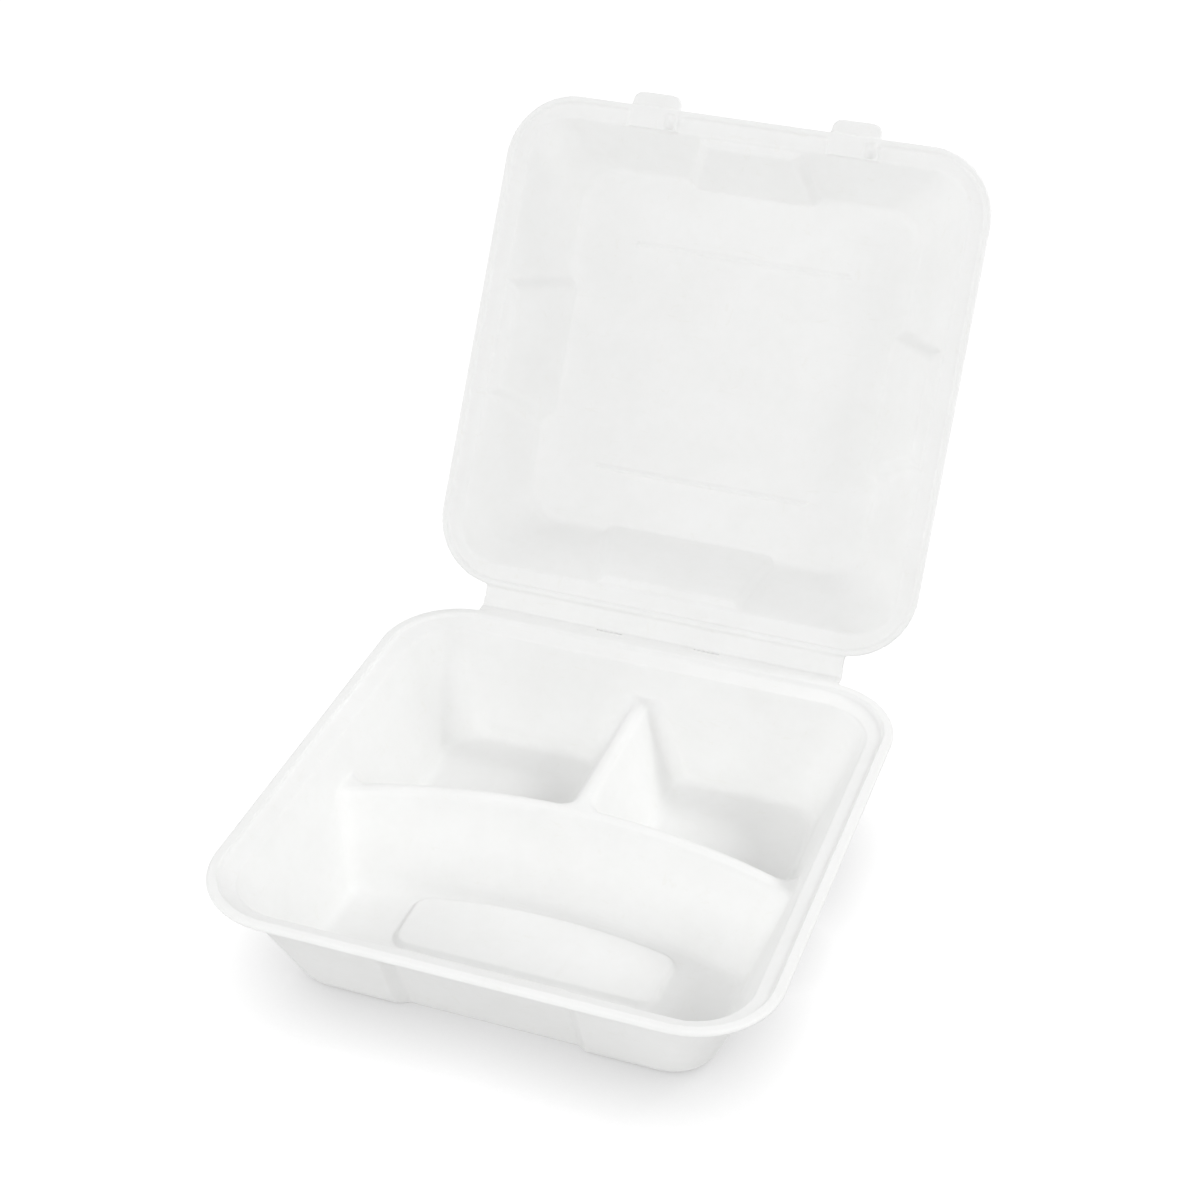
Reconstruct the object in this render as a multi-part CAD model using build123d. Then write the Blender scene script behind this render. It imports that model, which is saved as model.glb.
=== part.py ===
"""Hinged clamshell food box of moulded plant fibre: a three-compartment tray and its lid, lid open."""
import os
from math import atan2, cos, degrees, radians, sin, tan

from build123d import *

# Sheet
SHEET = 1.0
WALL_DRAFT = 19.5
SIDE_GROW_SHARE = 1.0 / cos(radians(WALL_DRAFT))
BEYOND = 12.0

# From the tray's middle forward to the middle of the front compartment's foot, where the origin is
FOOT_CENTRE = 37.0

# Tray, plan sizes on the food side at the floor, at the ridge tops and at the top of the wall
FLOOR_HALF_WIDTH = 75.0
RIDGE_HALF_WIDTH = 86.2
MOUTH_HALF_WIDTH = 91.5
FLOOR_FRONT = 72.4
RIDGE_FRONT = 85.7
MOUTH_FRONT = 92.0
FLOOR_BACK = 83.5
RIDGE_BACK = 89.6
MOUTH_BACK = 92.0
WALL_CORNER = 15.0
MOUTH_CORNER = 21.0
RIDGE_LEVEL = 32.0
MOUTH_LEVEL = 44.5
FOOT_RADIUS = 4.5
RIDGE_ROUND = 2.0
POCKET_CORNER = 6.5

# Curved divider between the front compartment and the two back ones
DIVIDER_CENTRE = 217.5
DIVIDER_FRONT_FOOT = 212.3
DIVIDER_FRONT_TOP = 228.4
DIVIDER_BACK_FOOT = 241.0
DIVIDER_BACK_TOP = 233.6

# Straight divider between the two back compartments
RIB_FOOT_HALF = 16.5
RIB_TOP_HALF = 2.6

# Raised panel in the front compartment's floor
PANEL_HALF_WIDTH = 50.0
PANEL_FRONT = 46.0
PANEL_GAP = 6.8
PANEL_CORNER = 7.0
PANEL_RISE = 2.0
PANEL_BEVEL = 1.6

# Hollow pressed into the outside of the front wall
NOTCH_HALF = 31.0
NOTCH_MOUTH_HALF = 35.0
NOTCH_DEPTH = 3.3
NOTCH_TOP = 38.0
NOTCH_EDGE = 1.6

# Tray rim, measured outward from the top of the wall
SHOULDER_RUN = 5.9
SHOULDER_LEVEL = 46.95
STEP_RUN = 6.1
CREST_LEVEL = 48.4
CREST_EDGE_RUN = 9.3
LIP_RUN = 10.0
LIP_BEND = 0.9
LIP_BOTTOM = 46.3
CREST_SOFT = 0.25

# Fold line that joins the tray and the lid
FOLD_BACK = 105.7
FOLD_RISE = 0.15
FOLD_HALF_WIDTH = 73.5
FOLD_GAP = 0.2
FOLD_SKIN = 0.6
FOLD_THIN_RUN = 2.4
FOLD_BLEND_RUN = 2.0
SLIT_CENTRE = 20.5
SLIT_HALF = 5.2
SLIT_DEPTH = 0.75
LID_OPEN_ANGLE = 59.3

# Lid, laid open behind the tray with its hollow up; lengths along it count from the fold
LID_HALF_WIDTH = 97.1
LID_REAR = 8.0
LID_FRONT = 203.3
LID_CORNER = 27.0
LID_LIP_RISE = 1.3
LID_LIP_WIDTH = 2.1
LID_LIP_SLOPE = 0.5
LID_FLANGE = 8.6
LID_DEPTH = 21.0
LID_SIDE_RUN = 19.3
LID_REAR_RUN = 20.4
LID_FRONT_RUN = 14.9
LID_WALL_CORNER = 16.0
LID_FOOT_RADIUS = 4.0
CREASE_HALF = 43.5
CREASE_REAR_INSET = 25.0
CREASE_FRONT_INSET = 28.0
CREASE_WIDTH = 2.2
CREASE_TOP_WIDTH = 0.7
CREASE_RISE = 0.8

# Hollows pressed into the outside of the lid's walls
SIDE_NOTCH_HALF = 18.5
SIDE_NOTCH_MOUTH = 22.5
SIDE_NOTCH_DEPTH = 4.6
REAR_NOTCH_HALF = 25.0
REAR_NOTCH_MOUTH = 29.0
REAR_NOTCH_DEPTH = 3.2
FRONT_NOTCH_HALF = 16.0
FRONT_NOTCH_MOUTH = 20.5
FRONT_NOTCH_DEPTH = 3.6
NOTCH_WIDEN = 7.5
LID_NOTCH_START = 1.0

# Closing tabs on the lid's front edge
TAB_CENTRE = 40.0
TAB_HALF = 10.0
TAB_REACH = 5.4
TAB_CORNER = 4.0
TAB_RAMP_BEFORE = 2.9
TAB_RAMP_AFTER = 0.4
DIMPLE_EDGE = 3.2
DIMPLE_BEFORE = 6.6
DIMPLE_HALF_WIDTH = 2.1
DIMPLE_HALF_LENGTH = 3.0
DIMPLE_DEPTH = 0.7


def between(start, end, share):
    """Value at a share of the way from start to end."""
    return start + (end - start) * share


def tray_plan(level):
    """Half width, front, back and corner radius of the tray's food side at a level."""
    if level < RIDGE_LEVEL:
        share = (level - SHEET) / (RIDGE_LEVEL - SHEET)
        low = (FLOOR_HALF_WIDTH, FLOOR_FRONT, FLOOR_BACK, WALL_CORNER)
        high = (RIDGE_HALF_WIDTH, RIDGE_FRONT, RIDGE_BACK, WALL_CORNER)
    else:
        share = (level - RIDGE_LEVEL) / (MOUTH_LEVEL - RIDGE_LEVEL)
        low = (RIDGE_HALF_WIDTH, RIDGE_FRONT, RIDGE_BACK, WALL_CORNER)
        high = (MOUTH_HALF_WIDTH, MOUTH_FRONT, MOUTH_BACK, MOUTH_CORNER)
    return [between(a, b, share) for a, b in zip(low, high)]


def foot_levels(radius, draft):
    """Inward set and height above the floor along the rounding between a floor and a wall."""
    reach = radius * tan(radians(90 - draft) / 2)
    steps = []
    for turn in (0.0, 1 / 3, 2 / 3, 1.0):
        angle = radians(90 - draft) * turn
        rise = radius * (1 - cos(angle))
        run = reach - radius * sin(angle)
        steps.append((run + rise * tan(radians(draft)), rise))
    return steps


def rounded_face(half, front, back, corner, level):
    """Rounded rectangle between front and back, symmetrical about the middle, at a level."""
    depth = front + back
    shape = RectangleRounded(2 * half, depth, corner)
    return Pos(0, (back - front) / 2, level) * shape


def stack(faces):
    """Solid with straight sides between the faces, from the lowest to the highest."""
    return loft(faces, ruled=True)


def front_face(level, height, inset, flare):
    """Plan of the front compartment: three straight walls and the divider's arc."""
    half, front, back, corner = tray_plan(level)
    share = (level - SHEET) / (RIDGE_LEVEL - SHEET)
    radius = between(DIVIDER_FRONT_FOOT, DIVIDER_FRONT_TOP, share) - inset + flare
    disc = Pos(0, -DIVIDER_CENTRE, 0) * Circle(radius)
    block = Rectangle(2 * (half - inset), 2 * (front - inset))
    plan = (block & disc).faces()[0]
    rear = plan.vertices().sort_by(Axis.Y)[2:4]
    plan = fillet(rear, POCKET_CORNER - inset)
    near = plan.vertices().sort_by(Axis.Y)[0:2]
    plan = fillet(near, corner - inset)
    return Pos(0, 0, height) * plan.faces()[0]


def back_face(level, height, inset, flare, side):
    """Plan of one back compartment, on the right for side 1 and on the left for side -1."""
    half, front, back, corner = tray_plan(level)
    share = (level - SHEET) / (RIDGE_LEVEL - SHEET)
    radius = between(DIVIDER_BACK_FOOT, DIVIDER_BACK_TOP, share) + inset - flare
    rib = between(RIB_FOOT_HALF, RIB_TOP_HALF, share) + inset - flare
    disc = Pos(0, -DIVIDER_CENTRE, 0) * Circle(radius)
    width = half - inset - rib
    block = Pos(side * (rib + width / 2), 0, 0) * Rectangle(width, 2 * (back - inset))
    plan = (block - disc).faces().sort_by(Axis.Y)[-1]
    bend = POCKET_CORNER - inset
    inner = plan.vertices().sort_by(Axis.Y)[0:2]
    plan = fillet(inner, bend)
    far = plan.vertices().sort_by(Axis.Y)[-2:]
    outer = far.sort_by(Axis.X)[-1 if side > 0 else 0]
    plan = fillet(outer, corner - inset)
    far = plan.vertices().group_by(Axis.Y)[-1]
    middle = far.sort_by(Axis.X)[0 if side > 0 else -1]
    plan = fillet(middle, bend)
    return Pos(0, 0, height) * plan.faces()[0]


def pocket_levels(skin):
    """Level, height, inward set and flare of each section of a compartment."""
    grow = skin * SIDE_GROW_SHARE
    base = SHEET - skin
    rows = []
    for inset, rise in foot_levels(FOOT_RADIUS + skin, WALL_DRAFT):
        rows.append((base + rise, inset - grow, 0.0))
    soft = RIDGE_ROUND - skin
    top = RIDGE_LEVEL - skin
    for turn in (0, 45, 90):
        rise = soft * sin(radians(turn))
        flare = soft * (1 - cos(radians(turn)))
        rows.append((top - soft + rise, -grow, flare))
    return rows


def compartments(skin):
    """The hollow of the three compartments below the ridge tops; skin moves it outward."""
    rows = pocket_levels(skin)
    front = stack([front_face(z, z, inset, flare) for z, inset, flare in rows])
    right = stack([back_face(z, z, inset, flare, 1) for z, inset, flare in rows])
    left = stack([back_face(z, z, inset, flare, -1) for z, inset, flare in rows])
    return front, right, left


def upper_hollow(skin):
    """The shared hollow from the ridge tops through the shoulder and the lip's inner step."""
    grow = skin * SIDE_GROW_SHARE
    faces = []
    for level in (RIDGE_LEVEL - skin, MOUTH_LEVEL - skin / 2):
        half, front, back, corner = tray_plan(level)
        faces.append(rounded_face(half + grow, front + grow, back + grow, corner + grow, level))
    shoulder = SHOULDER_RUN + skin / 2
    rows = [(shoulder, SHOULDER_LEVEL - skin), (STEP_RUN + skin / 2, CREST_LEVEL - skin)]
    if skin == 0:
        rows = [
            (SHOULDER_RUN, SHOULDER_LEVEL),
            (STEP_RUN, CREST_LEVEL - CREST_SOFT),
            (STEP_RUN + CREST_SOFT, CREST_LEVEL),
            (STEP_RUN + CREST_SOFT, CREST_LEVEL + BEYOND),
        ]
    for run, level in rows:
        faces.append(
            rounded_face(
                MOUTH_HALF_WIDTH + run, MOUTH_FRONT + run, MOUTH_BACK + run, MOUTH_CORNER + run, level
            )
        )
    return stack(faces)


def rim_face(run, level):
    """Outline of the tray's rim, a run outside the top of the wall, at a level."""
    return rounded_face(
        MOUTH_HALF_WIDTH + run, MOUTH_FRONT + run, MOUTH_BACK + run, MOUTH_CORNER + run, level
    )


def tray_lip():
    """Flat crest and turned-down outer edge of the tray, with the middle still closed."""
    outside = stack(
        [
            rim_face(LIP_RUN, LIP_BOTTOM),
            rim_face(LIP_RUN, CREST_LEVEL - LIP_BEND),
            rim_face(LIP_RUN - CREST_SOFT, CREST_LEVEL - CREST_SOFT),
            rim_face(CREST_EDGE_RUN, CREST_LEVEL),
        ]
    )
    inside = stack(
        [
            rim_face(LIP_RUN - SHEET, LIP_BOTTOM - SHEET),
            rim_face(LIP_RUN - SHEET, CREST_LEVEL - SHEET),
        ]
    )
    return outside - inside


def floor_panel(skin):
    """Raised panel of the front compartment's floor, lowered and narrowed by the skin."""
    faces = []
    rows = ((-PANEL_BEVEL, -PANEL_RISE), (0.0, 0.0), (PANEL_BEVEL, PANEL_RISE))
    for inset, rise in rows:
        shift = inset + skin * SIDE_GROW_SHARE / 2
        disc = Pos(0, -DIVIDER_CENTRE, 0) * Circle(DIVIDER_FRONT_FOOT - PANEL_GAP - shift)
        block = Rectangle(2 * (PANEL_HALF_WIDTH - shift), 2 * (PANEL_FRONT - shift))
        plan = (block & disc).faces()[0]
        plan = fillet(plan.vertices(), PANEL_CORNER - shift)
        faces.append(Pos(0, 0, SHEET - skin + rise) * plan.faces()[0])
    return stack(faces)


def wall_notch(half, mouth, depth, widen, near, far, low, high, skin):
    """Block that pushes a wall inward, wider by widen at its low end than at its high end.

    The wall faces +Y, from a distance near at the low level to far at the high one.
    """
    faces = []
    slant = skin * SIDE_GROW_SHARE
    for distance, level, extra in ((near, low, widen), (far, high, 0.0)):
        inner = distance - depth - slant
        reach = half + extra + slant
        edge = mouth + extra + slant
        plan = Polygon(
            (-reach, inner),
            (reach, inner),
            (edge, distance),
            (edge, distance + BEYOND),
            (-edge, distance + BEYOND),
            (-edge, distance),
            align=None,
        )
        corners = plan.vertices().sort_by(Axis.Y)[0:2]
        plan = fillet(corners, NOTCH_EDGE + skin)
        faces.append(Pos(0, 0, level) * plan.faces()[0])
    return stack(faces)


def tray_front_notch(skin):
    """Hollow in the tray's front wall, or the bulge it makes inside when a skin is given."""
    grow = SHEET * SIDE_GROW_SHARE
    slope = (RIDGE_FRONT - FLOOR_FRONT) / (RIDGE_LEVEL - SHEET)
    low = -SHEET
    high = NOTCH_TOP + skin
    near = FLOOR_FRONT + grow + slope * (low - SHEET)
    far = FLOOR_FRONT + grow + slope * (high - SHEET)
    block = wall_notch(NOTCH_HALF, NOTCH_MOUTH_HALF, NOTCH_DEPTH, 0.0, near, far, low, high, skin)
    return Rot(0, 0, 180) * block


def web_profile(start, end, level):
    """Section along Y of one side of the fold: full sheet that thins toward the fold line."""
    toward = 1 if end > start else -1
    thin = end - toward * FOLD_THIN_RUN
    full = thin - toward * FOLD_BLEND_RUN
    dip = (SHEET - FOLD_SKIN) / 2
    points = [
        (start, level - SHEET),
        (full, level - SHEET),
        (thin, level - SHEET + dip),
        (end, level - SHEET + dip),
        (end, level - dip),
        (thin, level - dip),
        (full, level),
        (start, level),
    ]
    return Polygon(*points, align=None)


def web(start, end, level):
    """Strip of sheet from start to end along Y, as wide as the fold."""
    face = Plane.YZ * web_profile(start, end, level)
    return extrude(face, amount=FOLD_HALF_WIDTH, both=True)


def slits(edge, level):
    """Cutters for this side's half of the two slits on the fold."""
    cutters = []
    for centre in (-SLIT_CENTRE, SLIT_CENTRE):
        plan = SlotOverall(2 * SLIT_HALF, 2 * SLIT_DEPTH)
        tall = Pos(centre, edge, level - BEYOND) * extrude(plan, amount=2 * BEYOND)
        cutters.append(tall)
    return cutters


def build_tray():
    """Tray with its three compartments, rim and half of the fold."""
    outside = upper_hollow(SHEET)
    for pocket in compartments(SHEET):
        outside = outside + pocket
    outside = outside - floor_panel(SHEET)
    outside = outside - tray_front_notch(0.0)
    inside = upper_hollow(0.0)
    for pocket in compartments(0.0):
        inside = inside + pocket
    inside = inside - floor_panel(0.0)
    inside = inside - tray_front_notch(SHEET)
    lip = tray_lip()
    under = LIP_RUN + SHEET
    relief = Pos(0, MOUTH_BACK + LIP_RUN, CREST_LEVEL - SHEET) * Box(
        2 * FOLD_HALF_WIDTH, 2 * under, BEYOND, align=(Align.CENTER, Align.CENTER, Align.MAX)
    )
    strip = web(MOUTH_BACK + STEP_RUN + SHEET, FOLD_BACK - FOLD_GAP, CREST_LEVEL)
    tray = (lip - relief) + strip + outside - inside
    for cutter in slits(FOLD_BACK, CREST_LEVEL):
        tray = tray - cutter
    return tray


def lid_face(half, rear, front, corner, level):
    """Rounded rectangle of the lid laid open, from rear to front counted from the fold."""
    shape = RectangleRounded(2 * half, front - rear, corner)
    return Pos(0, FOLD_BACK + (front + rear) / 2, level) * shape


def lid_rim_face(inset, level):
    """Outline of the lid's rim, an inset inside its outer edge, at a level."""
    return lid_face(
        LID_HALF_WIDTH - inset, LID_REAR + inset, LID_FRONT - inset, LID_CORNER - inset, level
    )


def lid_wall_face(depth, inset, level):
    """Outline of the lid's wall at a depth below the flange, drawn in by an inset."""
    share = depth / LID_DEPTH
    half = LID_HALF_WIDTH - LID_FLANGE - LID_SIDE_RUN * share
    rear = LID_REAR + LID_FLANGE + LID_REAR_RUN * share
    front = LID_FRONT - LID_FLANGE - LID_FRONT_RUN * share
    return lid_face(half - inset, rear + inset, front - inset, LID_WALL_CORNER - inset, level)


def lid_draft():
    """Angle in degrees between the lid's side walls and the way it is pressed."""
    return degrees(atan2(LID_SIDE_RUN, LID_DEPTH))


def lid_hollow(skin, flange):
    """The lid's hollow from its panel to its flange; skin moves it outward."""
    draft = lid_draft()
    grow = skin / cos(radians(draft))
    base = flange - LID_DEPTH - skin
    faces = []
    for inset, rise in foot_levels(LID_FOOT_RADIUS + skin, draft):
        faces.append(lid_wall_face(LID_DEPTH - rise + skin, inset - grow, base + rise))
    faces.append(lid_wall_face(0, -grow, flange))
    if skin == 0:
        faces.append(lid_wall_face(0, 0, flange + BEYOND))
    return stack(faces)


def lid_notches(skin, flange):
    """Hollows in the lid's four walls, or the bulges they make inside when a skin is given."""
    grow = SHEET / cos(radians(lid_draft()))
    low = flange - LID_DEPTH - SHEET - SHEET
    high = flange - SHEET - LID_NOTCH_START + skin
    middle = (LID_REAR + LID_FRONT) / 2
    side_mouth = LID_HALF_WIDTH - LID_FLANGE
    end_mouth = (LID_FRONT - LID_REAR) / 2 - LID_FLANGE
    walls = (
        (90, side_mouth, LID_SIDE_RUN, SIDE_NOTCH_HALF, SIDE_NOTCH_MOUTH, SIDE_NOTCH_DEPTH),
        (-90, side_mouth, LID_SIDE_RUN, SIDE_NOTCH_HALF, SIDE_NOTCH_MOUTH, SIDE_NOTCH_DEPTH),
        (180, end_mouth, LID_REAR_RUN, REAR_NOTCH_HALF, REAR_NOTCH_MOUTH, REAR_NOTCH_DEPTH),
        (0, end_mouth, LID_FRONT_RUN, FRONT_NOTCH_HALF, FRONT_NOTCH_MOUTH, FRONT_NOTCH_DEPTH),
    )
    blocks = []
    for turn, mouth, run, half, edge, depth in walls:
        near = mouth - run * (flange - low) / LID_DEPTH + grow
        far = mouth - run * (flange - high) / LID_DEPTH + grow
        block = wall_notch(half, edge, depth, NOTCH_WIDEN, near, far, low, high, skin)
        blocks.append(Pos(0, FOLD_BACK + middle, 0) * Rot(0, 0, turn) * block)
    return blocks


def panel_crease(along, base):
    """Straight pressed line on the lid's panel."""
    profile = Plane.YZ * Polygon(
        (-CREASE_WIDTH / 2, 0),
        (CREASE_WIDTH / 2, 0),
        (CREASE_TOP_WIDTH / 2, CREASE_RISE),
        (-CREASE_TOP_WIDTH / 2, CREASE_RISE),
        align=None,
    )
    bar = extrude(profile, amount=CREASE_HALF, both=True)
    return Pos(0, FOLD_BACK + along, base) * bar


def lid_tab(centre, flange):
    """Closing tab: a raised strip across the flange and a rounded tongue past the front edge."""
    start = LID_FRONT - LID_FLANGE
    lip = flange + LID_LIP_RISE
    ramp_start = LID_FRONT - TAB_RAMP_BEFORE
    ramp_end = LID_FRONT + TAB_RAMP_AFTER
    profile = Plane.YZ * Polygon(
        (start, flange - SHEET),
        (LID_FRONT, flange - SHEET),
        (ramp_end, flange - SHEET),
        (ramp_end, flange),
        (ramp_start, lip),
        (start, lip),
        align=None,
    )
    strip = extrude(profile, amount=TAB_HALF, both=True)
    under = Plane.YZ * Polygon(
        (start + SHEET, flange - BEYOND),
        (ramp_start + SHEET, flange - BEYOND),
        (ramp_start + SHEET, flange - SHEET),
        (ramp_start - SHEET / 2, lip - SHEET),
        (start + SHEET, lip - SHEET),
        align=None,
    )
    hollow = extrude(under, amount=TAB_HALF - SHEET, both=True)
    end = LID_FRONT + TAB_REACH
    length = TAB_REACH + LID_FLANGE / 2
    plan = Pos(0, end - length / 2) * Rectangle(2 * TAB_HALF, length)
    plan = fillet(plan.vertices().sort_by(Axis.Y)[2:4], TAB_CORNER)
    tongue = Pos(0, 0, flange - SHEET) * extrude(plan.faces()[0], amount=SHEET)
    along = start + DIMPLE_BEFORE - DIMPLE_HALF_LENGTH
    dimple = Pos(TAB_HALF - DIMPLE_EDGE, along, lip - DIMPLE_DEPTH) * extrude(
        RectangleRounded(2 * DIMPLE_HALF_WIDTH, 2 * DIMPLE_HALF_LENGTH, DIMPLE_HALF_WIDTH / 2),
        amount=BEYOND,
    )
    place = Pos(centre, FOLD_BACK, 0)
    return place * (strip + tongue), place * hollow, place * dimple


def lid_lip(flange):
    """Flange and raised outer lip of the lid, with the middle still closed."""
    top = flange + LID_LIP_RISE
    edge = stack(
        [
            lid_rim_face(0, top - SHEET),
            lid_rim_face(0, top - CREST_SOFT),
            lid_rim_face(CREST_SOFT, top),
        ]
    )
    plate = stack([lid_rim_face(SHEET, flange - SHEET), lid_rim_face(SHEET, flange + CREST_SOFT)])
    inset = LID_LIP_WIDTH + LID_LIP_SLOPE
    recess = stack(
        [
            lid_rim_face(inset, flange),
            lid_rim_face(LID_LIP_WIDTH, top),
            lid_rim_face(LID_LIP_WIDTH, top + SHEET),
        ]
    )
    return edge + plate, recess


def build_lid():
    """Lid with its panel, flange, tabs and half of the fold, turned up to its open rest."""
    flange = CREST_LEVEL
    base = flange - LID_DEPTH
    rim, recess = lid_lip(flange)
    outside = lid_hollow(SHEET, flange)
    for notch in lid_notches(0.0, flange):
        outside = outside - notch
    inside = lid_hollow(0.0, flange)
    for notch in lid_notches(SHEET, flange):
        inside = inside - notch
    lid = rim + outside - recess
    cuts = []
    for centre in (-TAB_CENTRE, TAB_CENTRE):
        body, hollow, dimple = lid_tab(centre, flange)
        lid = lid + body
        cuts.extend([hollow, dimple])
    lid = lid + web(FOLD_BACK + LID_REAR + LID_FLANGE, FOLD_BACK + FOLD_GAP, flange)
    lid = lid - inside
    for cutter in cuts:
        lid = lid - cutter
    panel_rear = LID_REAR + LID_FLANGE + LID_REAR_RUN
    panel_front = LID_FRONT - LID_FLANGE - LID_FRONT_RUN
    for along in (panel_rear + CREASE_REAR_INSET, panel_front - CREASE_FRONT_INSET):
        lid = lid - panel_crease(along, base - SHEET)
        lid = lid + panel_crease(along, base)
    for cutter in slits(FOLD_BACK, flange):
        lid = lid - cutter
    fold = Axis((0, FOLD_BACK, CREST_LEVEL + FOLD_RISE), (1, 0, 0))
    return lid.rotate(fold, LID_OPEN_ANGLE)


def main():
    """Write the two parts of the container."""
    os.makedirs("parts", exist_ok=True)
    place = Pos(0, FOOT_CENTRE, 0)
    export_step(place * build_tray(), "parts/tray.step")
    export_step(place * build_lid(), "parts/lid.step")


main()
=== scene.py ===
from math import cos, pi, radians, sin

import bmesh
import bpy
from mathutils import Matrix, Vector


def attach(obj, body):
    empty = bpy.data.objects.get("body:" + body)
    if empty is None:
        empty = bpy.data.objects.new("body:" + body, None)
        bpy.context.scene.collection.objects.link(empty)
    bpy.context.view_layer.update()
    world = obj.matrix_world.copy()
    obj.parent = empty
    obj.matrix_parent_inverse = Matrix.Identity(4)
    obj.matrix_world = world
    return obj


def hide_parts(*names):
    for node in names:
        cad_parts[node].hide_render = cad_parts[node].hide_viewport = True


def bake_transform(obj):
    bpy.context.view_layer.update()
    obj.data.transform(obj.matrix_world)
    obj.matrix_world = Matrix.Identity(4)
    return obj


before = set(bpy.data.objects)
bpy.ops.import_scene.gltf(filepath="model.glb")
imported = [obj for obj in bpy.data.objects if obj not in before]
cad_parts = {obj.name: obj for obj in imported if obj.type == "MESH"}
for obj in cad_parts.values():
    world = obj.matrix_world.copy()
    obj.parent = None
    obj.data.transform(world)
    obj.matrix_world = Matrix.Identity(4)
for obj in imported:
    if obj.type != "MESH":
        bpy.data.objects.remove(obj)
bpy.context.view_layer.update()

# Places are in the row frame; places and lengths are in metres

# The fold, and how far the lid stands open at rest
FOLD_Y = 0.1427
FOLD_Z = 0.04855
OPEN_ANGLE = radians(59.3)
FOLD_LINE = Vector((0, FOLD_Y, FOLD_Z))
LID_UP = Vector((0, -sin(OPEN_ANGLE), cos(OPEN_ANGLE)))
LID_AWAY = Vector((0, cos(OPEN_ANGLE), sin(OPEN_ANGLE)))
TRAY_UP = Vector((0, 0, 1))
TRAY_AWAY = Vector((0, -1, 0))

# The thin strip that bends at the fold, and its two slits
FOLD_HALF_WIDTH = 0.0735
FOLD_SKIN = 0.0006
STRIP_REACH = 0.0030
STRIP_PROUD = 0.00003
CREST_TO_FOLD = 0.00015
SHEET = 0.001
SLIT_CENTRE = 0.0205
SLIT_HALF_LENGTH = 0.0052
SLIT_PLACE = -0.0012
SLIT_HALF_WIDTH = 0.0003
BEND_REACH = 0.0012
STRIP_COLUMNS = 70
STRIP_ROWS = 80
MERGE_REACH = 0.00001

# Faces of the strip that are a slit's cut faces, which get painted shade: room as shares of the slit's
# half sizes, and their tilt
SLIT_END_ROOM = 1.2
SLIT_SIDE_ROOM = 2.0
CUT_FACE_TILT = 0.5

# What the fold's geometry tree is given
FOLD_INPUTS = {
    "Half Width": FOLD_HALF_WIDTH,
    "Reach": STRIP_REACH,
    "Skin": FOLD_SKIN + 2 * STRIP_PROUD,
    "Depth": CREST_TO_FOLD + (SHEET + FOLD_SKIN) / 2 + STRIP_PROUD,
    "Slit Centre": SLIT_CENTRE,
    "Slit Half Length": SLIT_HALF_LENGTH,
    "Slit Place": SLIT_PLACE,
    "Slit Half Width": SLIT_HALF_WIDTH,
    "Bend Reach": BEND_REACH,
    "Open Angle": OPEN_ANGLE,
    "Fold Y": FOLD_Y,
    "Fold Z": FOLD_Z,
}

# The closing tabs' dimples, placed from the tab's centre and along the lid from the fold
TAB_CENTRES = (-0.040, 0.040)
DIMPLE_SIDE = 0.0068
DIMPLE_ALONG = 0.1983
DIMPLE_HALF_WIDTH = 0.0030
DIMPLE_HALF_LENGTH = 0.0042
DIMPLE_PRESS = 0.0014
DIMPLE_LAYER = 0.0016
DIMPLE_BACK_HEIGHT = -0.0002
DIMPLE_BACK_SIZE = (0.0056, 0.0076, 0.0011)

# The steps in the lid's side walls: where their easing starts, is full, is full still and ends
LID_MIDDLE = 0.10565
STEP_SIDE = (0.064, 0.068, 0.082, 0.086)
STEP_ALONG = (0.012, 0.016, 0.032, 0.036)
STEP_PASSES = 60

# The moulded shells' meshes
JOIN_REACH = 1e-6
SKIN_END = 0.0016
VOXEL = 0.00055
SHELL_FACES = 170000
SMOOTH_FACTOR = 0.5
SMOOTH_PASSES = 2
FOOD_SIDE_TILT = -0.05

# The fibre's tones and how strongly its patterns show
FOOD_SIDE = {
    "colour": (0.885, 0.887, 0.882),
    "shade": (0.862, 0.864, 0.856),
    "print_depth": 0.0,
    "rough": 0.80,
}
MOULD_SIDE = {
    "colour": (0.875, 0.877, 0.871),
    "shade": (0.85, 0.852, 0.843),
    "print_depth": 0.5,
    "rough": 0.86,
}
FLECK_TINT = (0.93, 0.92, 0.88)
FLECK_STRENGTH = 0.25
FLECK_HEIGHT = 0.12
FLECK_EDGE = (0.665, 0.74)
CLOUD_RANGE = (0.36, 0.66)
GLOSS_RANGE = (0.3, 0.7)
GLOSS_CHANGE = 0.06
SHEEN_LEVEL = 0.3
BUMP_STRENGTH = 0.35
BUMP_DISTANCE = 0.00012
# Near-black painted shade on the slits' cut faces, standing in for the shadow seen through the slits
SLIT_SHADE_COLOUR = (0.12, 0.12, 0.115, 1)
SLIT_SHADE_ROUGH = 0.9

# The fibre's noise patterns; a strand layer is a stretch and a shift, the wire is the mould's woven wire
BROAD_CLOUD = {"scale": 42.0, "detail": 3.0, "rough": 0.55, "distortion": 0.4}
FINE_CLOUD = {"scale": 240.0, "detail": 3.0, "rough": 0.6, "distortion": 0.2}
STRAND = {"scale": 1.0, "detail": 2.0, "rough": 0.5, "distortion": 1.2}
FINE_FELT = {"scale": 1500.0, "detail": 2.0, "rough": 0.6, "distortion": 0.6}
BROAD_FELT = {"scale": 330.0, "detail": 3.0, "rough": 0.6, "distortion": 0.8}
CLOUD_SHARES = (0.65, 0.35)
FELT_SHARES = (0.45, 0.55)
STRAND_LAYERS = (((620, 95, 620), 0.0), ((95, 700, 300), 3.7), ((330, 330, 95), 8.1))
WIRE_THREADS = 1150.0
WIRE_WAVER = 0.25
WIRE_TILT = (0.6, 0.35, 0.5)

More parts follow.
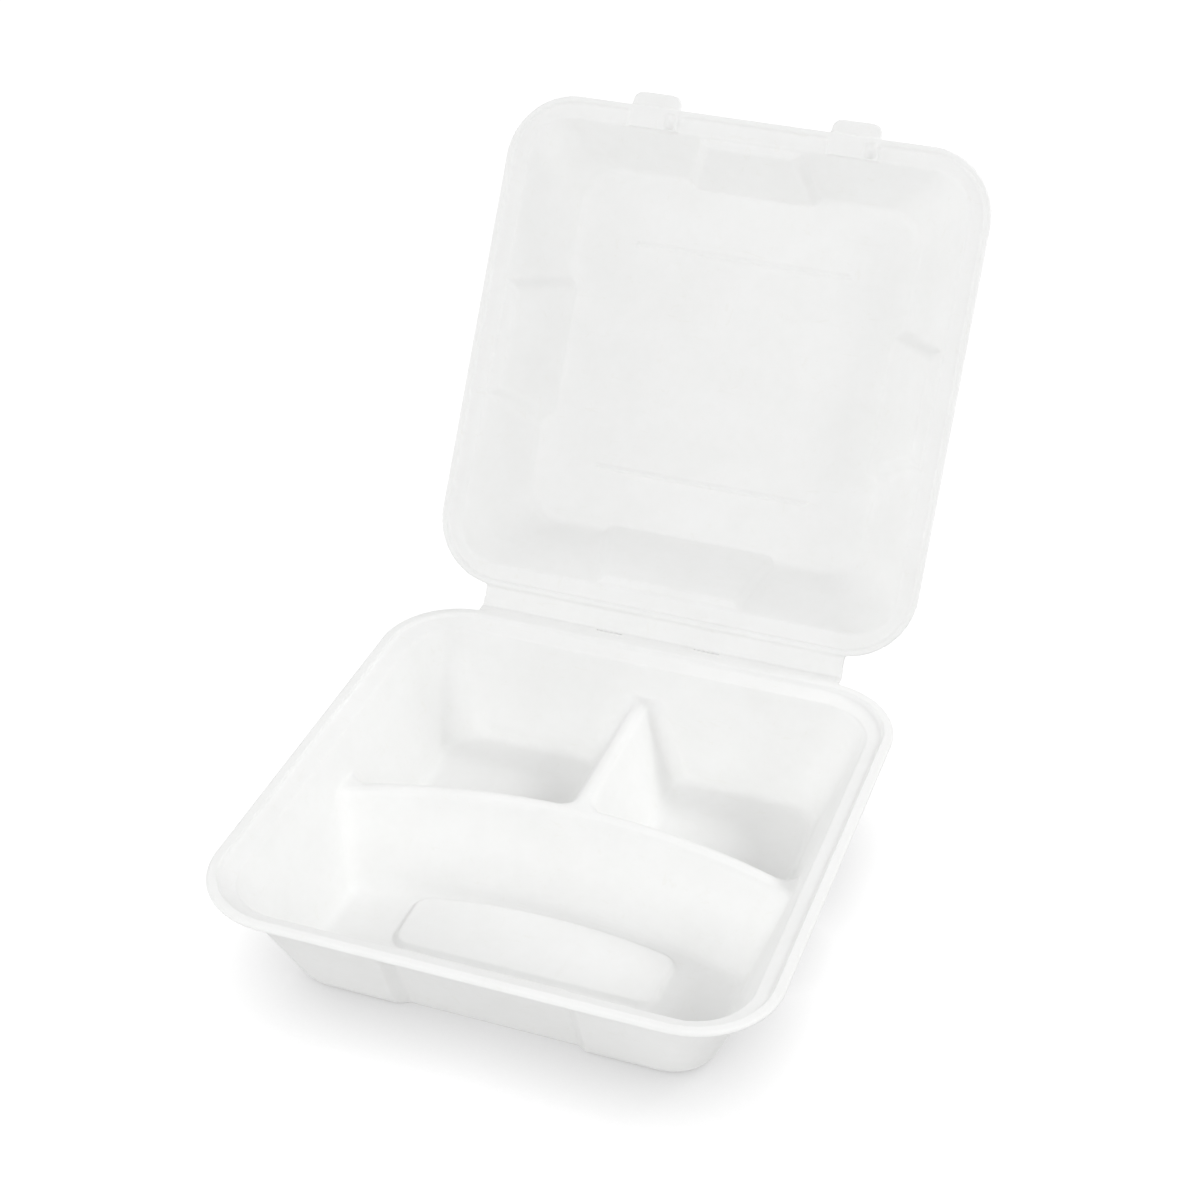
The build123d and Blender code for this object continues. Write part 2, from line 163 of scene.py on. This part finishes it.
# Floor, light and camera; a lamp is its name, turn and height in degrees, size and power in watts
FLOOR_CORNERS = ((-4.0, -4.0, 0.0), (4.0, -4.0, 0.0), (4.0, 4.0, 0.0), (-4.0, 4.0, 0.0))
FLOOR_BOUNCE = 0.8
FLOOR_TINT = 0.12
# The floor's glow for the camera; its open share is dimmed within the shadow reach of the object as
# painted shadow
FLOOR_GLOW = 0.43
FLOOR_OPEN_GLOW = 0.57
SHADOW_REACH = 0.036
WORLD_LIGHT = 0.50
WORLD_SHOWN = 1.0
LIGHT_CENTRE = Vector((0.0, 0.07, 0.05))
LAMP_DISTANCE = 1.5
LAMPS = (
    ("key_behind_right", 35, 38, 0.3, 6.8),
    ("right", 0, 38, 0.3, 2.2),
    ("front", -90, 33, 0.9, 9.3),
    ("left", 180, 20, 0.9, 4.8),
)
CAMERA_PLACE = (0.23088, -0.60155, 0.56881)
CAMERA_RIGHT = Vector((0.94299, 0.33255, 0.01354))
CAMERA_FORWARD = Vector((-0.27256, 0.79497, -0.54198))
LENS = 72.117
SENSOR_WIDTH = 36.0
CLIP_START = 0.05
CLIP_END = 20.0


# Fibre materials

def new_group(name, inputs, outputs):
    """Shader node group with named sockets; inputs are (name, kind, default) and outputs (name, kind)."""
    group = bpy.data.node_groups.new(name, "ShaderNodeTree")
    for label, kind, default in inputs:
        socket = group.interface.new_socket(name=label, in_out="INPUT", socket_type=kind)
        socket.default_value = default
    for label, kind in outputs:
        group.interface.new_socket(name=label, in_out="OUTPUT", socket_type=kind)
    start = group.nodes.new("NodeGroupInput")
    end = group.nodes.new("NodeGroupOutput")
    return group, start, end


def math_node(tree, operation, first, second=None, clamp=False):
    """Math node fed by sockets or numbers; returns its output."""
    node = tree.nodes.new("ShaderNodeMath")
    node.operation = operation
    node.use_clamp = clamp
    for slot, value in enumerate((first, second)):
        if value is None:
            continue
        if isinstance(value, (int, float)):
            node.inputs[slot].default_value = value
        else:
            tree.links.new(value, node.inputs[slot])
    return node.outputs[0]


def scaled_place(tree, vector, scale):
    """Coordinates stretched by a scale along each axis."""
    node = tree.nodes.new("ShaderNodeMapping")
    node.inputs["Scale"].default_value = scale
    tree.links.new(vector, node.inputs["Vector"])
    return node.outputs[0]


def noise(tree, vector, scale, detail, rough, distortion):
    """Noise texture's value between 0 and 1."""
    node = tree.nodes.new("ShaderNodeTexNoise")
    node.inputs["Scale"].default_value = scale
    node.inputs["Detail"].default_value = detail
    node.inputs["Roughness"].default_value = rough
    node.inputs["Distortion"].default_value = distortion
    tree.links.new(vector, node.inputs["Vector"])
    return node.outputs["Fac"]


def remap(tree, value, low, high, start, end):
    """Value between low and high stretched to start and end, held at both ends."""
    node = tree.nodes.new("ShaderNodeMapRange")
    node.clamp = True
    for label, number in (("From Min", low), ("From Max", high), ("To Min", start), ("To Max", end)):
        node.inputs[label].default_value = number
    tree.links.new(value, node.inputs["Value"])
    return node.outputs["Result"]


def two_noises(tree, vector, patterns, shares):
    """Sum of two noise patterns, each taken by its share."""
    first, second = (
        math_node(tree, "MULTIPLY", noise(tree, vector, **pattern), share)
        for pattern, share in zip(patterns, shares)
    )
    return math_node(tree, "ADD", first, second)


def build_fibre_group():
    """Pressed plant fibre: cloudy density, thin flecks of fibre and the felted surface's height."""
    group, start, end = new_group(
        "pressed_fibre",
        [("Place", "NodeSocketVector", (0, 0, 0))],
        [("Cloud", "NodeSocketFloat"), ("Flecks", "NodeSocketFloat"), ("Felt", "NodeSocketFloat")],
    )
    place = start.outputs["Place"]
    cloud = two_noises(group, place, (BROAD_CLOUD, FINE_CLOUD), CLOUD_SHARES)
    flecks = None
    for stretch, seed in STRAND_LAYERS:
        shifted = group.nodes.new("ShaderNodeVectorMath")
        shifted.operation = "ADD"
        shifted.inputs[1].default_value = (seed, seed, seed)
        group.links.new(scaled_place(group, place, stretch), shifted.inputs[0])
        mask = remap(group, noise(group, shifted.outputs[0], **STRAND), *FLECK_EDGE, 0.0, 1.0)
        flecks = mask if flecks is None else math_node(group, "MAXIMUM", flecks, mask)
    felt = two_noises(group, place, (FINE_FELT, BROAD_FELT), FELT_SHARES)
    felt = math_node(group, "ADD", felt, math_node(group, "MULTIPLY", flecks, FLECK_HEIGHT))
    group.links.new(cloud, end.inputs["Cloud"])
    group.links.new(flecks, end.inputs["Flecks"])
    group.links.new(felt, end.inputs["Felt"])
    return group


def build_wire_group():
    """Print of the mould's woven wire: two crossed rows of fine ribs."""
    group, start, end = new_group(
        "wire_print",
        [("Place", "NodeSocketVector", (0, 0, 0)), ("Threads", "NodeSocketFloat", WIRE_THREADS)],
        [("Print", "NodeSocketFloat")],
    )
    rows = []
    tilt_x, tilt_y, tilt_z = WIRE_TILT
    for turn in (0.0, pi / 2):
        node = group.nodes.new("ShaderNodeMapping")
        node.inputs["Rotation"].default_value = (tilt_x, tilt_y, tilt_z + turn)
        group.links.new(start.outputs["Place"], node.inputs["Vector"])
        wave = group.nodes.new("ShaderNodeTexWave")
        wave.wave_type = "BANDS"
        wave.bands_direction = "X"
        wave.inputs["Distortion"].default_value = WIRE_WAVER
        group.links.new(node.outputs[0], wave.inputs["Vector"])
        group.links.new(start.outputs["Threads"], wave.inputs["Scale"])
        rows.append(wave.outputs["Fac"])
    crossed = math_node(group, "MULTIPLY", rows[0], rows[1])
    group.links.new(crossed, end.inputs["Print"])
    return group


def build_fibre_material(name, fibre, wire, colour, shade, print_depth, rough):
    """Matt pressed fibre; colour is its clean tone and shade its denser, slightly warmer tone."""
    material = bpy.data.materials.new(name)
    material.use_nodes = True
    tree = material.node_tree
    bsdf = tree.nodes["Principled BSDF"]
    place = tree.nodes.new("ShaderNodeTexCoord").outputs["Object"]
    body = tree.nodes.new("ShaderNodeGroup")
    body.node_tree = fibre
    tree.links.new(place, body.inputs["Place"])

    cloud = remap(tree, body.outputs["Cloud"], *CLOUD_RANGE, 0.0, 1.0)
    tone = tree.nodes.new("ShaderNodeMix")
    tone.data_type = "RGBA"
    tone.inputs["A"].default_value = (*colour, 1)
    tone.inputs["B"].default_value = (*shade, 1)
    tree.links.new(cloud, tone.inputs["Factor"])
    fleck = tree.nodes.new("ShaderNodeMix")
    fleck.data_type = "RGBA"
    fleck.inputs["B"].default_value = (*(part * tint for part, tint in zip(colour, FLECK_TINT)), 1)
    tree.links.new(tone.outputs["Result"], fleck.inputs["A"])
    fleck_share = math_node(tree, "MULTIPLY", body.outputs["Flecks"], FLECK_STRENGTH)
    tree.links.new(fleck_share, fleck.inputs["Factor"])
    tree.links.new(fleck.outputs["Result"], bsdf.inputs["Base Color"])

    gloss = remap(tree, body.outputs["Felt"], *GLOSS_RANGE, rough - GLOSS_CHANGE, rough + GLOSS_CHANGE)
    tree.links.new(gloss, bsdf.inputs["Roughness"])
    bsdf.inputs["Specular IOR Level"].default_value = SHEEN_LEVEL

    height = body.outputs["Felt"]
    if print_depth:
        net = tree.nodes.new("ShaderNodeGroup")
        net.node_tree = wire
        tree.links.new(place, net.inputs["Place"])
        ribs = math_node(tree, "MULTIPLY", net.outputs["Print"], print_depth)
        height = math_node(tree, "ADD", height, ribs)
    bump = tree.nodes.new("ShaderNodeBump")
    bump.inputs["Strength"].default_value = BUMP_STRENGTH
    bump.inputs["Distance"].default_value = BUMP_DISTANCE
    tree.links.new(height, bump.inputs["Height"])
    tree.links.new(bump.outputs["Normal"], bsdf.inputs["Normal"])
    return material


def make_slit_shade_material():
    """Near-black painted shade for the cut faces inside the slits, in place of the shadow in the gap."""
    material = bpy.data.materials.new("painted_slit_shade")
    material.use_nodes = True
    bsdf = material.node_tree.nodes["Principled BSDF"]
    bsdf.inputs["Base Color"].default_value = SLIT_SHADE_COLOUR
    bsdf.inputs["Roughness"].default_value = SLIT_SHADE_ROUGH
    return material


fibre_group = build_fibre_group()
wire_group = build_wire_group()
food_side = build_fibre_material("food_side_fibre", fibre_group, wire_group, **FOOD_SIDE)
mould_side = build_fibre_material("mould_side_fibre", fibre_group, wire_group, **MOULD_SIDE)
# Material of painted shade for the slits' cut faces
slit_shade_paint = make_slit_shade_material()


# Moulded shells

def link(obj):
    """Put a new object in the scene."""
    bpy.context.scene.collection.objects.link(obj)
    return obj


def merged_copy(node, name):
    """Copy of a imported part's mesh with its triangles joined."""
    mesh = node.data.copy()
    mesh.name = name
    bm = bmesh.new()
    bm.from_mesh(mesh)
    bmesh.ops.remove_doubles(bm, verts=bm.verts, dist=JOIN_REACH)
    bm.to_mesh(mesh)
    bm.free()
    return link(bpy.data.objects.new(name, mesh))


def bake(obj):
    """Turn the object's modifiers into its plain mesh."""
    depsgraph = bpy.context.evaluated_depsgraph_get()
    mesh = bpy.data.meshes.new_from_object(obj.evaluated_get(depsgraph))
    obj.modifiers.clear()
    obj.data = mesh


def draw_back_skin(shell, away):
    """End the part's thin skin a little before the fold line, where the fold strip takes over."""
    for vert in shell.data.vertices:
        short = SKIN_END - (vert.co - FOLD_LINE).dot(away)
        if short > 0:
            vert.co += away * short


def lid_place(side, along, height):
    """Point of the open lid from its place sideways, along the lid from the fold, and off the lid."""
    back = along * cos(OPEN_ANGLE) - height * sin(OPEN_ANGLE)
    rise = along * sin(OPEN_ANGLE) + height * cos(OPEN_ANGLE)
    return Vector((side, FOLD_Y + back, FOLD_Z + rise))


def back_dimple(shell, centre):
    """Fibre behind a closing tab's dimple, so that the sheet stays whole when the dimple is pressed."""
    place = lid_place(centre + DIMPLE_SIDE, DIMPLE_ALONG, DIMPLE_BACK_HEIGHT)
    turn = Matrix.Rotation(OPEN_ANGLE, 4, "X")
    stretch = Matrix.Diagonal((*DIMPLE_BACK_SIZE, 1))
    bm = bmesh.new()
    bm.from_mesh(shell.data)
    bmesh.ops.create_cube(bm, size=1.0, matrix=Matrix.Translation(place) @ turn @ stretch)
    bm.to_mesh(shell.data)
    bm.free()


def press_dimple(shell, centre):
    """Push both faces of the sheet outward at a closing tab's dimple."""
    middle = lid_place(centre + DIMPLE_SIDE, DIMPLE_ALONG, 0)
    for vert in shell.data.vertices:
        offset = vert.co - middle
        reach = Vector((offset.x / DIMPLE_HALF_WIDTH, offset.dot(LID_AWAY) / DIMPLE_HALF_LENGTH)).length
        if reach < 1 and abs(offset.dot(LID_UP)) < DIMPLE_LAYER:
            share = 1 - reach * reach
            vert.co -= LID_UP * DIMPLE_PRESS * share * share


def smooth(shell, name, passes):
    """Smoothing modifier with the given number of passes."""
    modifier = shell.modifiers.new(name, "SMOOTH")
    modifier.factor = SMOOTH_FACTOR
    modifier.iterations = passes
    return modifier


def ramp_share(value, ramp):
    """One between the ramp's two inner numbers, falling to zero at its outer ones."""
    low, full, still, high = ramp
    return max(0.0, min(1.0, (value - low) / (full - low), (high - value) / (high - still)))


def ease_steps(shell):
    """Make the steps at the ends of the hollows in the lid's side walls gentler."""
    group = shell.vertex_groups.new(name="steps")
    for vert in shell.data.vertices:
        along = abs((vert.co - FOLD_LINE).dot(LID_AWAY) - LID_MIDDLE)
        share = ramp_share(abs(vert.co.x), STEP_SIDE) * ramp_share(along, STEP_ALONG)
        if share > 0:
            group.add([vert.index], share, "REPLACE")
    smooth(shell, "ease", STEP_PASSES).vertex_group = group.name


def moulded_shell(node_name, up, away, tabs=()):
    """The part with its edges softened as pressed pulp is.

    up is the way its food side faces, and away leads from the fold. tabs are the centres of the
    lid's closing tabs.
    """
    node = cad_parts[node_name]
    shell = merged_copy(node, node_name + "_moulded")
    draw_back_skin(shell, away)
    for centre in tabs:
        back_dimple(shell, centre)
    remesh = shell.modifiers.new("pulp", "REMESH")
    remesh.mode = "VOXEL"
    remesh.voxel_size = VOXEL
    bake(shell)
    for centre in tabs:
        press_dimple(shell, centre)
    if tabs:
        ease_steps(shell)
    smooth(shell, "soften", SMOOTH_PASSES)
    thin = shell.modifiers.new("thin", "DECIMATE")
    thin.ratio = min(1.0, SHELL_FACES / (2 * len(shell.data.polygons)))
    bake(shell)
    mesh = shell.data
    mesh.materials.clear()
    mesh.materials.append(food_side)
    mesh.materials.append(mould_side)
    for face in mesh.polygons:
        face.use_smooth = True
        face.material_index = 0 if face.normal.dot(up) > FOOD_SIDE_TILT else 1
    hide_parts(node_name)
    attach(shell, node_name)


def vector_parts(tree, vector):
    """The three numbers of a vector."""
    node = tree.nodes.new("ShaderNodeSeparateXYZ")
    tree.links.new(vector, node.inputs[0])
    return node.outputs


def vector_from(tree, first, second, third):
    """Vector made of three sockets or numbers."""
    node = tree.nodes.new("ShaderNodeCombineXYZ")
    for slot, value in enumerate((first, second, third)):
        if isinstance(value, (int, float)):
            node.inputs[slot].default_value = value
        else:
            tree.links.new(value, node.inputs[slot])
    return node.outputs[0]


def build_fold_tree():
    """Geometry tree of a thin strip that bends along the fold and has a slit on each side."""
    tree = bpy.data.node_groups.new("bent_fold", "GeometryNodeTree")
    tree.interface.new_socket(name="Geometry", in_out="INPUT", socket_type="NodeSocketGeometry")
    for label in FOLD_INPUTS:
        tree.interface.new_socket(name=label, in_out="INPUT", socket_type="NodeSocketFloat")
    tree.interface.new_socket(name="Material", in_out="INPUT", socket_type="NodeSocketMaterial")
    tree.interface.new_socket(name="Geometry", in_out="OUTPUT", socket_type="NodeSocketGeometry")
    given = tree.nodes.new("NodeGroupInput").outputs
    end = tree.nodes.new("NodeGroupOutput")

    grid = tree.nodes.new("GeometryNodeMeshGrid")
    grid.inputs["Vertices X"].default_value = STRIP_COLUMNS + 1
    grid.inputs["Vertices Y"].default_value = STRIP_ROWS + 1
    tree.links.new(math_node(tree, "MULTIPLY", given["Half Width"], 2.0), grid.inputs["Size X"])
    tree.links.new(math_node(tree, "MULTIPLY", given["Reach"], 2.0), grid.inputs["Size Y"])

    x, y, _ = vector_parts(tree, tree.nodes.new("GeometryNodeInputPosition").outputs[0])
    side = math_node(tree, "SUBTRACT", math_node(tree, "ABSOLUTE", x), given["Slit Centre"])
    along = math_node(tree, "LESS_THAN", math_node(tree, "ABSOLUTE", side), given["Slit Half Length"])
    from_slit = math_node(tree, "ABSOLUTE", math_node(tree, "SUBTRACT", y, given["Slit Place"]))
    across = math_node(tree, "LESS_THAN", from_slit, given["Slit Half Width"])
    cut = tree.nodes.new("GeometryNodeDeleteGeometry")
    cut.domain = "FACE"
    tree.links.new(grid.outputs["Mesh"], cut.inputs["Geometry"])
    tree.links.new(math_node(tree, "MULTIPLY", along, across), cut.inputs["Selection"])

    thick = tree.nodes.new("GeometryNodeExtrudeMesh")
    thick.inputs["Individual"].default_value = False
    tree.links.new(cut.outputs[0], thick.inputs["Mesh"])
    tree.links.new(vector_from(tree, 0.0, 0.0, 1.0), thick.inputs["Offset"])
    tree.links.new(given["Skin"], thick.inputs["Offset Scale"])
    under = tree.nodes.new("GeometryNodeFlipFaces")
    tree.links.new(cut.outputs[0], under.inputs["Mesh"])
    both = tree.nodes.new("GeometryNodeJoinGeometry")
    tree.links.new(thick.outputs["Mesh"], both.inputs[0])
    tree.links.new(under.outputs["Mesh"], both.inputs[0])
    closed = tree.nodes.new("GeometryNodeMergeByDistance")
    closed.inputs["Distance"].default_value = MERGE_REACH
    tree.links.new(both.outputs[0], closed.inputs["Geometry"])

    # Each point turns about the fold line by a share of the open angle that grows across the bend
    x, y, z = vector_parts(tree, tree.nodes.new("GeometryNodeInputPosition").outputs[0])
    height = math_node(tree, "SUBTRACT", z, given["Depth"])
    bent = math_node(tree, "DIVIDE", math_node(tree, "ADD", y, given["Bend Reach"]), given["Bend Reach"])
    share = math_node(tree, "MULTIPLY", bent, 0.5, clamp=True)
    slope = math_node(tree, "SUBTRACT", 3.0, math_node(tree, "MULTIPLY", share, 2.0))
    eased = math_node(tree, "MULTIPLY", math_node(tree, "MULTIPLY", share, share), slope)
    turn = math_node(tree, "MULTIPLY", eased, given["Open Angle"])
    turn_cos = math_node(tree, "COSINE", turn)
    turn_sin = math_node(tree, "SINE", turn)
    level_back = math_node(tree, "MULTIPLY", y, turn_cos)
    back = math_node(tree, "SUBTRACT", level_back, math_node(tree, "MULTIPLY", height, turn_sin))
    level_rise = math_node(tree, "MULTIPLY", y, turn_sin)
    rise = math_node(tree, "ADD", level_rise, math_node(tree, "MULTIPLY", height, turn_cos))
    place_y = math_node(tree, "ADD", back, given["Fold Y"])
    place_z = math_node(tree, "ADD", rise, given["Fold Z"])
    bend = tree.nodes.new("GeometryNodeSetPosition")
    tree.links.new(closed.outputs[0], bend.inputs["Geometry"])
    tree.links.new(vector_from(tree, x, place_y, place_z), bend.inputs["Position"])

    real = tree.nodes.new("GeometryNodeRealizeInstances")
    tree.links.new(bend.outputs[0], real.inputs[0])
    coat = tree.nodes.new("GeometryNodeSetMaterial")
    tree.links.new(real.outputs[0], coat.inputs["Geometry"])
    tree.links.new(given["Material"], coat.inputs["Material"])
    tree.links.new(coat.outputs[0], end.inputs[0])
    return tree


def paint_shade_in_slits(strip):
    """The cut faces inside the slits get the painted shade of the gap."""
    strip.data.materials.append(slit_shade_paint)
    middle = FOLD_Y + SLIT_PLACE
    for face in strip.data.polygons:
        along = abs(abs(face.center.x) - SLIT_CENTRE) < SLIT_END_ROOM * SLIT_HALF_LENGTH
        across = abs(face.center.y - middle) < SLIT_SIDE_ROOM * SLIT_HALF_WIDTH
        if along and across and abs(face.normal.z) < CUT_FACE_TILT:
            face.material_index = 1


def fold_strip():
    """Thin fold between the tray and the lid, with its two slits, bent to the lid's open angle."""
    strip = link(bpy.data.objects.new("fold_strip", bpy.data.meshes.new("fold_strip")))
    fold = strip.modifiers.new("fold", "NODES")
    tree = build_fold_tree()
    fold.node_group = tree
    sockets = {item.name: item.identifier for item in tree.interface.items_tree if item.in_out == "INPUT"}
    for label, value in FOLD_INPUTS.items():
        fold[sockets[label]] = value
    fold[sockets["Material"]] = food_side
    bake(strip)
    # The slits' cut faces get painted shade
    paint_shade_in_slits(strip)
    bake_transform(strip)


moulded_shell("tray", TRAY_UP, TRAY_AWAY)
moulded_shell("lid", LID_UP, LID_AWAY, TAB_CENTRES)
fold_strip()


# Floor, light and camera

def shown_ray(tree):
    """One for rays from the camera, from glossy faces and through clear ones, else zero."""
    path = tree.nodes.new("ShaderNodeLightPath")
    either = math_node(tree, "MAXIMUM", path.outputs["Is Camera Ray"], path.outputs["Is Glossy Ray"])
    return math_node(tree, "MAXIMUM", either, path.outputs["Is Transmission Ray"])


def build_floor():
    """Pale floor that glows white to the camera; the glow is dimmed near the object as a painted soft
    shadow, and a faint lit part keeps the lamps' shadow.
    """
    mesh = bpy.data.meshes.new("floor")
    mesh.from_pydata(FLOOR_CORNERS, [], [(0, 1, 2, 3)])
    material = bpy.data.materials.new("pale_floor")
    material.use_nodes = True
    tree = material.node_tree
    tree.nodes.remove(tree.nodes["Principled BSDF"])
    output = tree.nodes["Material Output"]
    seen = tree.nodes.new("ShaderNodeBsdfDiffuse")
    seen.inputs["Color"].default_value = (FLOOR_TINT, FLOOR_TINT, FLOOR_TINT, 1)
    # Painted contact shadow: the floor's glow is dimmed where nearby parts hide the floor
    cover = tree.nodes.new("ShaderNodeAmbientOcclusion")
    cover.inputs["Distance"].default_value = SHADOW_REACH
    glow = tree.nodes.new("ShaderNodeEmission")
    glow.inputs["Color"].default_value = (1, 1, 1, 1)
    open_share = math_node(tree, "MULTIPLY", cover.outputs["AO"], FLOOR_OPEN_GLOW)
    tree.links.new(math_node(tree, "ADD", open_share, FLOOR_GLOW), glow.inputs["Strength"])
    shown = tree.nodes.new("ShaderNodeAddShader")
    tree.links.new(seen.outputs[0], shown.inputs[0])
    tree.links.new(glow.outputs[0], shown.inputs[1])
    bounce = tree.nodes.new("ShaderNodeBsdfDiffuse")
    bounce.inputs["Color"].default_value = (FLOOR_BOUNCE, FLOOR_BOUNCE, FLOOR_BOUNCE, 1)
    mix = tree.nodes.new("ShaderNodeMixShader")
    tree.links.new(shown_ray(tree), mix.inputs["Fac"])
    tree.links.new(bounce.outputs[0], mix.inputs[1])
    tree.links.new(shown.outputs[0], mix.inputs[2])
    tree.links.new(mix.outputs[0], output.inputs["Surface"])
    mesh.materials.append(material)
    floor = link(bpy.data.objects.new("floor", mesh))


def build_world():
    """Even studio light; the camera sees it white."""
    world = bpy.data.worlds.new("studio")
    bpy.context.scene.world = world
    world.use_nodes = True
    tree = world.node_tree
    tree.nodes.clear()
    output = tree.nodes.new("ShaderNodeOutputWorld")
    light = tree.nodes.new("ShaderNodeBackground")
    light.inputs["Color"].default_value = (1, 1, 1, 1)
    light.inputs["Strength"].default_value = WORLD_LIGHT
    shown = tree.nodes.new("ShaderNodeBackground")
    shown.inputs["Color"].default_value = (1, 1, 1, 1)
    shown.inputs["Strength"].default_value = WORLD_SHOWN
    mix = tree.nodes.new("ShaderNodeMixShader")
    tree.links.new(shown_ray(tree), mix.inputs["Fac"])
    tree.links.new(light.outputs[0], mix.inputs[1])
    tree.links.new(shown.outputs[0], mix.inputs[2])
    tree.links.new(mix.outputs[0], output.inputs["Surface"])


def add_lamp(name, turn, height, size, power):
    """Square soft lamp that faces the container.

    turn is its place around the container, counted from the right, and height its angle above
    the floor, both in degrees.
    """
    data = bpy.data.lights.new(name, "AREA")
    data.shape = "SQUARE"
    data.size = size
    data.energy = power
    lamp = link(bpy.data.objects.new(name, data))
    level = cos(radians(height))
    away = Vector((cos(radians(turn)) * level, sin(radians(turn)) * level, sin(radians(height))))
    lamp.location = LIGHT_CENTRE + LAMP_DISTANCE * away
    lamp.rotation_euler = (-away).to_track_quat("-Z", "Y").to_euler()


def build_camera():
    """Camera at the photograph's viewing angle."""
    data = bpy.data.cameras.new("camera")
    data.sensor_width = SENSOR_WIDTH
    data.lens = LENS
    data.clip_start = CLIP_START
    data.clip_end = CLIP_END
    camera = link(bpy.data.objects.new("camera", data))
    right = CAMERA_RIGHT.normalized()
    forward = CAMERA_FORWARD.normalized()
    up = right.cross(forward).normalized()
    right = forward.cross(up)
    turn = Matrix((right, up, -forward)).transposed().to_4x4()
    camera.matrix_world = Matrix.Translation(CAMERA_PLACE) @ turn
    bpy.context.scene.camera = camera


build_floor()
build_world()
for name, turn, height, size, power in LAMPS:
    add_lamp(name, turn, height, size, power)
build_camera()

scene = bpy.context.scene
scene.view_settings.view_transform = "Standard"
